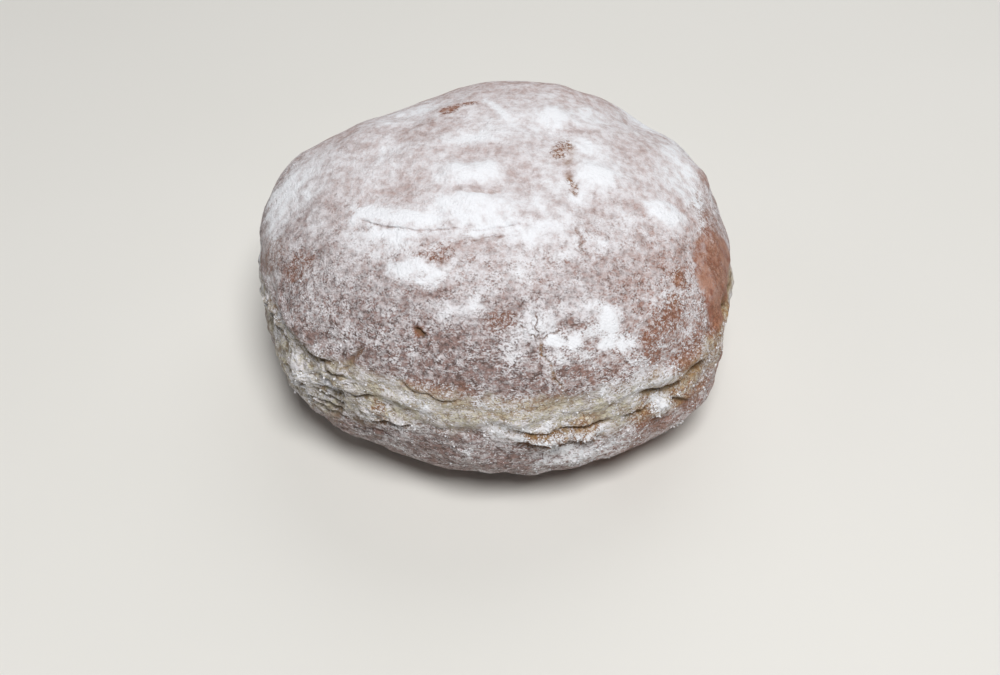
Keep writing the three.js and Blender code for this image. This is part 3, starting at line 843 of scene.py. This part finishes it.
GRAIN_CORNERS = np.array([(1, 0, 0), (-1, 0, 0), (0, 1, 0), (0, -1, 0), (0, 0, 1), (0, 0, -1)], float)
GRAIN_FACES = np.array([
    (0, 2, 4), (2, 1, 4), (1, 3, 4), (3, 0, 4),
    (2, 0, 5), (1, 2, 5), (3, 1, 5), (0, 3, 5),
])
# A grain is this shape, stretched from its middle, skewed, leaned and turned at random. The higher
# MOSTLY_SMALL is, the fewer large grains there are.
GRAIN_STRETCH, GRAIN_SKEW, GRAIN_LEAN, GRAIN_TURN = 0.35, 0.25, 0.3, 0.4
MOSTLY_SMALL = 2.5


def grains(name, points, faces, weights, count, sizes, seed, sink, shape=(1, 1, 1)):
    """One mesh of many small grains of sugar. They lie on triangles drawn by area times weight. sizes are
    their least and greatest half width, and shape stretches them level, up the slope and outward. They sink
    in by a share of their height."""
    rng = np.random.default_rng(seed)
    a, b, c = (points[faces[:, k]] for k in range(3))
    normals = np.cross(b - a, c - a)
    areas = np.linalg.norm(normals, axis=1) / 2
    chance = areas * weights
    picks = rng.choice(len(faces), count, p=chance / chance.sum())
    u, v = rng.random((2, count, 1))
    flip = u + v > 1
    u, v = np.where(flip, 1 - u, u), np.where(flip, 1 - v, v)
    up = norm(normals[picks])
    half = sizes[0] + (sizes[1] - sizes[0]) * rng.random((count, 1)) ** MOSTLY_SMALL
    middle = a[picks] + u * (b - a)[picks] + v * (c - a)[picks] + up * half * shape[2] * (1 - sink)
    corners = GRAIN_CORNERS[None] * (1 + GRAIN_STRETCH * rng.normal(size=(count, 6, 1)).clip(-1.2, 1.2))
    corners = (corners + GRAIN_SKEW * rng.normal(size=(count, 6, 3)).clip(-1.5, 1.5)) * shape
    lean = norm(up + GRAIN_LEAN * rng.normal(size=(count, 3)))
    level = norm(np.cross([0, 0, 1], lean) + GRAIN_TURN * rng.normal(size=(count, 3)))
    level = norm(level - (level * lean).sum(1, keepdims=True) * lean)
    frames = np.stack([level, np.cross(lean, level), lean], 1)
    corners = np.einsum("nkj,nji->nki", corners, frames) * half[:, None]
    corners += middle[:, None]
    corners[..., 2] = np.maximum(corners[..., 2], 0)
    rings = GRAIN_FACES[None] + 6 * np.arange(count)[:, None, None]
    rings = rings.reshape(-1, 3)

    mesh = bpy.data.meshes.new(name)
    mesh.vertices.add(6 * count)
    set_points(mesh, corners.reshape(-1, 3))
    mesh.loops.add(rings.size)
    mesh.loops.foreach_set("vertex_index", rings.ravel().astype(np.int32))
    mesh.polygons.add(len(rings))
    mesh.polygons.foreach_set("loop_start", (3 * np.arange(len(rings))).astype(np.int32))
    layout = mesh.uv_layers.new(name="OFBake")
    layout.data.foreach_set("uv", cell_map(len(rings)).astype(np.float32).ravel())
    mesh.update()
    mesh.validate()
    return mesh_object(name, mesh)


# Two triangles in one square of the map, with a gap between them.
CELL_TRIANGLES = np.array([[(0.1, 0.1), (0.8, 0.1), (0.1, 0.8)], [(0.9, 0.9), (0.2, 0.9), (0.9, 0.2)]])


def cell_map(count):
    """A map with a small triangle of its own for each of many triangles, two to a square."""
    across = math.ceil(math.sqrt(count / 2))
    square = np.arange(count) // 2
    low = np.stack([square % across, square // across], 1)[:, None]
    return (low + CELL_TRIANGLES[np.arange(count) % 2]) / across


# Materials


class Nodes:
    """A material's node tree, built by small functions."""

    def __init__(self, name):
        self.material = bpy.data.materials.new(name)
        self.material.use_nodes = True
        self.tree = self.material.node_tree
        self.shader = self.tree.nodes["Principled BSDF"]

    def add(self, kind, inputs, **settings):
        node = self.tree.nodes.new(kind)
        for key, value in settings.items():
            setattr(node, key, value)
        for key, value in inputs.items():
            self.feed(node.inputs[key], value)
        return node

    def feed(self, socket, value):
        if isinstance(value, bpy.types.NodeSocket):
            self.tree.links.new(value, socket)
        else:
            socket.default_value = value

    def mask(self, name):
        return self.add("ShaderNodeAttribute", {}, attribute_name=name).outputs["Fac"]

    def place(self, stretch=(1, 1, 1)):
        """The surface's own place in metres, stretched along the axes."""
        place = self.add("ShaderNodeTexCoord", {}).outputs["Object"]
        return self.add("ShaderNodeMapping", {"Vector": place, "Scale": stretch}).outputs["Vector"]

    def noise(self, size, detail=2.0, stretch=(1, 1, 1), offset=0.0, roughness=0.5):
        """Noise with bumps a size apart, in millimetres, between about 0 and 1."""
        at = self.place(stretch)
        if offset:
            at = self.add("ShaderNodeVectorMath", {0: at, 1: (offset, offset, offset)}).outputs[0]
        inputs = {"Vector": at, "Scale": 1 / (size * MM), "Detail": detail, "Roughness": roughness}
        return self.add("ShaderNodeTexNoise", inputs).outputs["Fac"]

    def math(self, operation, a, b=0.0, c=0.0):
        return self.add("ShaderNodeMath", {0: a, 1: b, 2: c}, operation=operation).outputs[0]

    def ramp(self, value, low, high, to_low=0.0, to_high=1.0):
        inputs = {"Value": value, "From Min": low, "From Max": high, "To Min": to_low, "To Max": to_high}
        return self.add("ShaderNodeMapRange", inputs, interpolation_type="SMOOTHSTEP").outputs[0]

    def mix(self, share, a, b):
        node = self.add("ShaderNodeMix", {0: share, 6: a, 7: b}, data_type="RGBA")
        return node.outputs[2]

    def bump(self, height, distance, strength=1.0, normal=None):
        inputs = {"Height": height, "Distance": distance * MM, "Strength": strength}
        if normal:
            inputs["Normal"] = normal
        return self.add("ShaderNodeBump", inputs).outputs[0]


def srgb(red, green, blue):
    """A colour given as on screen, 0 to 255."""
    linear = [c / 255 / 12.92 if c <= 10 else ((c / 255 + 0.055) / 1.055) ** 2.4 for c in (red, green, blue)]
    return (*linear, 1.0)


SUGAR = srgb(246, 247, 251)
SUGAR_THIN = srgb(233, 229, 232)
SUGAR_SHADE = srgb(232, 230, 232)
CRUST = srgb(150, 124, 118)
CRUST_DARK = srgb(98, 79, 74)
CRUST_DARK_WARM = srgb(122, 88, 74)
CRUST_WARM = srgb(171, 133, 121)
CRUST_BALD = srgb(181, 135, 115)
CRUST_BALD_DARK = srgb(150, 97, 77)
CRUST_TINT = srgb(166, 108, 74)
BAND_TINT = srgb(190, 146, 88)
BAND_DOUGH = srgb(211, 204, 183)
BAND_SHADE = srgb(155, 137, 115)
# The band's dark dots, and painted shade between its flakes.
BAND_DOTS_AND_FLAKE_SHADE = srgb(132, 114, 92)
HONEY = srgb(172, 128, 76)
VEIN = srgb(126, 82, 60)
# Painted shade on the floors of the folds and the pit, under the ledges and between the lumps.
GAP_SHADE = srgb(96, 78, 54)
FLOOR_SHADE = srgb(225, 223, 217)
FLOOR_PALE = srgb(228, 226, 221)
SHEEN = 0.3


def doughnut_material():
    n = Nodes("sugared_dough")
    names = ("sugar", "grit", "bald", "tinted", "golden", "band", "bare_and_shaded", "stain", "flaky", "warm")
    sugar, grit, bald, tinted, golden, band, bare_and_shaded, stain, flaky, warm = (n.mask(name) for name in names)

    # The dough under the sugar: the crust, the bald spot, the pale band with dark dots, the tinted spots
    # with fine veins, the gaps between flakes darkened with painted shade, and the insides of the folds in
    # honey brown with painted shade on their floors.
    darker = n.ramp(n.noise(0.9, 4, (1, 1, 1.4)), 0.62, 0.36)
    darker = n.math("MULTIPLY", darker, n.ramp(grit, 0, 0.5, 0.35, 1))
    crust = n.mix(darker, n.mix(warm, CRUST, CRUST_WARM), n.mix(warm, CRUST_DARK, CRUST_DARK_WARM))
    streaks = n.noise(2.2, 4, (1.4, 1.4, 0.5), 0.4)
    bald_crust = n.mix(n.ramp(streaks, 0.38, 0.6), CRUST_BALD_DARK, CRUST_BALD)
    crust = n.mix(bald, crust, bald_crust)
    pale = n.mix(n.ramp(n.noise(1.6, 3, (1, 1, 2.0), 0.3), 0.42, 0.66), BAND_DOUGH, BAND_SHADE)
    dots = n.ramp(n.noise(0.5, 3, (1, 1, 1.4), 2.7, 0.6), 0.48, 0.36)
    pale = n.mix(n.math("MULTIPLY", dots, n.ramp(grit, 0, 1, 0, 0.85)), pale, BAND_DOTS_AND_FLAKE_SHADE)
    dough = n.mix(band, crust, pale)
    spots = n.math("MULTIPLY", tinted, n.ramp(n.noise(0.9, 3, (1, 1, 1), 0.9), 0.4, 0.62, 0.2, 0.8))
    dough = n.mix(spots, dough, n.mix(golden, CRUST_TINT, BAND_TINT))
    veins = n.math("ABSOLUTE", n.math("SUBTRACT", n.noise(1.1, 2.5, (1, 1, 1), 2.3, 0.6), 0.5))
    veins = n.math("MULTIPLY", n.ramp(tinted, 0.05, 0.6), n.ramp(veins, 0.06, 0.01))
    dough = n.mix(n.math("MULTIPLY", veins, 0.8), dough, VEIN)
    flakes = n.noise(1.9, 2.5, (1, 1, 2.6), 1.6, 0.55)
    # Painted shade between the flakes, over a darker dough.
    between = n.math("MULTIPLY", n.ramp(flakes, 0.45, 0.34), flaky)
    dough = n.mix(n.math("MULTIPLY", between, 0.65), dough, BAND_DOTS_AND_FLAKE_SHADE)
    fine_spots = n.ramp(n.noise(0.8, 3, (1, 1, 1.5), 1.3), 0.34, 0.58, 0.35, 0.95)
    dough = n.mix(n.math("MULTIPLY", stain, fine_spots), dough, HONEY)
    # Painted shade on the floors of the folds and the pit, under the ledges and between the lumps.
    dough = n.mix(n.math("MULTIPLY", bare_and_shaded, 0.75), dough, GAP_SHADE)

    # The sugar: its density at the spot, broken up by flecks and grain, and by flat flakes low down.
    flecks = n.noise(0.85, 3, (1, 0.95, 1.6), 0.7, 0.62)
    grain = n.noise(0.36, 2, (1, 0.95, 1.6), 1.1)
    clusters = n.ramp(n.noise(2.0, 2, (1, 1, 1.3), 1.9), 0.36, 0.62, 0.35, 1.45)
    swing = n.math("MULTIPLY", n.ramp(grain, 0.24, 0.64, -0.62, 0.28), clusters)
    swing = n.math("ADD", n.ramp(flecks, 0.22, 0.66, -0.46, 0.30), swing)
    amount = n.math("MULTIPLY_ADD", swing, grit, sugar)
    haze = n.noise(1.5, 3, (1, 0.8, 1.1), 3.1, 0.6)
    amount = n.math("ADD", amount, n.ramp(haze, 0.3, 0.68, -0.20, 0.16))
    amount = n.math("MULTIPLY_ADD", n.ramp(flakes, 0.36, 0.62, -0.32, 0.3), flaky, amount)
    amount = n.math("MULTIPLY_ADD", veins, -0.7, amount)
    cover = n.ramp(amount, -0.12, 1.12)
    colour = n.mix(cover, dough, n.mix(n.ramp(sugar, 0.45, 1.0), SUGAR_THIN, SUGAR))

    n.feed(n.shader.inputs["Base Color"], colour)
    n.feed(n.shader.inputs["Roughness"], n.ramp(cover, 0.05, 0.5, 0.48, 0.92))
    n.shader.inputs["Specular IOR Level"].default_value = SHEEN
    crumbs = n.math("MULTIPLY", flakes, n.ramp(flaky, 0, 1, 0.15, 1.0))
    crumbs = n.math("MULTIPLY_ADD", n.noise(0.5, 3, (1, 1, 1.3), 0.2, 0.6), 0.45, crumbs)
    rough = n.bump(crumbs, 0.9, 1.0)
    n.feed(n.shader.inputs["Normal"], n.bump(cover, 0.16, 0.7, rough))
    return n.material


def grain_material():
    n = Nodes("loose_sugar")
    tint = n.ramp(n.noise(1.5, 2), 0.3, 0.7)
    n.feed(n.shader.inputs["Base Color"], n.mix(tint, SUGAR_SHADE, SUGAR))
    n.feed(n.shader.inputs["Roughness"], n.ramp(tint, 0, 1, 0.8, 0.95))
    n.shader.inputs["Specular IOR Level"].default_value = SHEEN
    return n.material


# Stage


FLOOR_HALF = 3.0


def floor_piece():
    """The plain pale floor."""
    mesh = bpy.data.meshes.new("floor")
    corners = [(FLOOR_HALF * x, FLOOR_HALF * y, 0) for x, y in ((-1, -1), (1, -1), (1, 1), (-1, 1))]
    mesh.from_pydata(corners, [], [(0, 1, 2, 3)])
    floor = mesh_object("floor", mesh)
    n = Nodes("pale_floor")
    n.feed(n.shader.inputs["Base Color"], n.mix(n.noise(60, 2), FLOOR_SHADE, FLOOR_PALE))
    n.shader.inputs["Roughness"].default_value = 0.55
    mesh.materials.append(n.material)


def area_light(name, azimuth, elevation, size, power):
    """A soft round light a metre from the object, turned towards it. Its size is in metres, its power in
    watts."""
    data = bpy.data.lights.new(name, "AREA")
    data.shape = "DISK"
    data.size = size
    data.energy = power
    light = bpy.data.objects.new(name, data)
    turn, rise = math.radians(azimuth), math.radians(elevation)
    away = Vector((math.cos(rise) * math.cos(turn), math.cos(rise) * math.sin(turn), math.sin(rise)))
    light.location = away + Vector((0, 0, WAIST_Z * MM))
    light.rotation_euler = (-away).to_track_quat("-Z", "Y").to_euler()
    bpy.context.scene.collection.objects.link(light)


WORLD_COLOUR = (0.98, 0.99, 1.0, 1)
WORLD_STRENGTH = 0.04


def lights():
    area_light("main_light", azimuth=-75, elevation=64, size=0.45, power=9.5)
    area_light("back_light", azimuth=75, elevation=42, size=1.0, power=2.9)
    area_light("left_light", azimuth=180, elevation=25, size=0.8, power=0.8)
    world = bpy.data.worlds.new("studio")
    world.use_nodes = True
    background = world.node_tree.nodes["Background"]
    background.inputs["Color"].default_value = WORLD_COLOUR
    background.inputs["Strength"].default_value = WORLD_STRENGTH
    bpy.context.scene.world = world


CAMERA_ELEVATION = 43
CAMERA_DISTANCE = 0.2952
CAMERA_TARGET = (0.00079, 0.00197, 0.0)
FOCAL_PIXELS = 1450
IMAGE_WIDTH = 1000
SENSOR_WIDTH = 36


def camera():
    """Looks down at the front, from as far away as the outline asks."""
    data = bpy.data.cameras.new("camera")
    data.sensor_width = SENSOR_WIDTH
    data.lens = data.sensor_width * FOCAL_PIXELS / IMAGE_WIDTH
    ob = bpy.data.objects.new("camera", data)
    elevation = math.radians(CAMERA_ELEVATION)
    back = np.array([0, -math.cos(elevation), math.sin(elevation)])
    ob.location = np.array(CAMERA_TARGET) + CAMERA_DISTANCE * back
    ob.rotation_euler = (math.pi / 2 - elevation, 0, 0)
    bpy.context.scene.collection.objects.link(ob)
    bpy.context.scene.camera = ob


def on_faces(values, faces):
    """The mean of a value over each triangle's corners."""
    return values[faces].mean(1)


camera()
lights()
floor_piece()

crust, crust_points, crust_masks = doughnut_piece()
crust.data.materials.append(doughnut_material())
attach(crust, "root")
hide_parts("doughnut")

# Loose sugar lies low on the front, more of it where there is more sugar.
crust_faces = np.zeros(3 * len(crust.data.polygons), np.int32)
crust.data.polygons.foreach_get("vertices", crust_faces)
crust_faces = crust_faces.reshape(-1, 3)
height = on_faces(crust_points[:, 2], crust_faces)
sugar = on_faces(crust_masks["sugar"], crust_faces)
above_foot = smooth(height, 1.0, 3.0)
sugared = np.clip(sugar, 0, 1) ** 2 * above_foot
bald = on_faces(crust_masks["bald"], crust_faces)
low_sugar = smooth(height, 36, 26) * smooth(height, 4, 12) * (0.1 + sugared) * (1 - bald)
low_sugar *= smooth(on_faces(crust_points[:, 1], crust_faces), -8, -26)
flakes = dict(weights=low_sugar, count=2000, sizes=(0.06, 0.22), seed=81, shape=(1.3, 0.9, 0.45), sink=0.3)
lumps = dict(weights=low_sugar * sugared, count=300, sizes=(0.15, 0.32), seed=83, sink=0.6)
loose_sugar = [
    grains("sugar_flakes", crust_points, crust_faces, **flakes),
    grains("sugar_lumps", crust_points, crust_faces, **lumps),
]
grain_finish = grain_material()
for piece in loose_sugar:
    piece.data.materials.append(grain_finish)
    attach(piece, "root")

bpy.context.scene.view_settings.view_transform = "Standard"
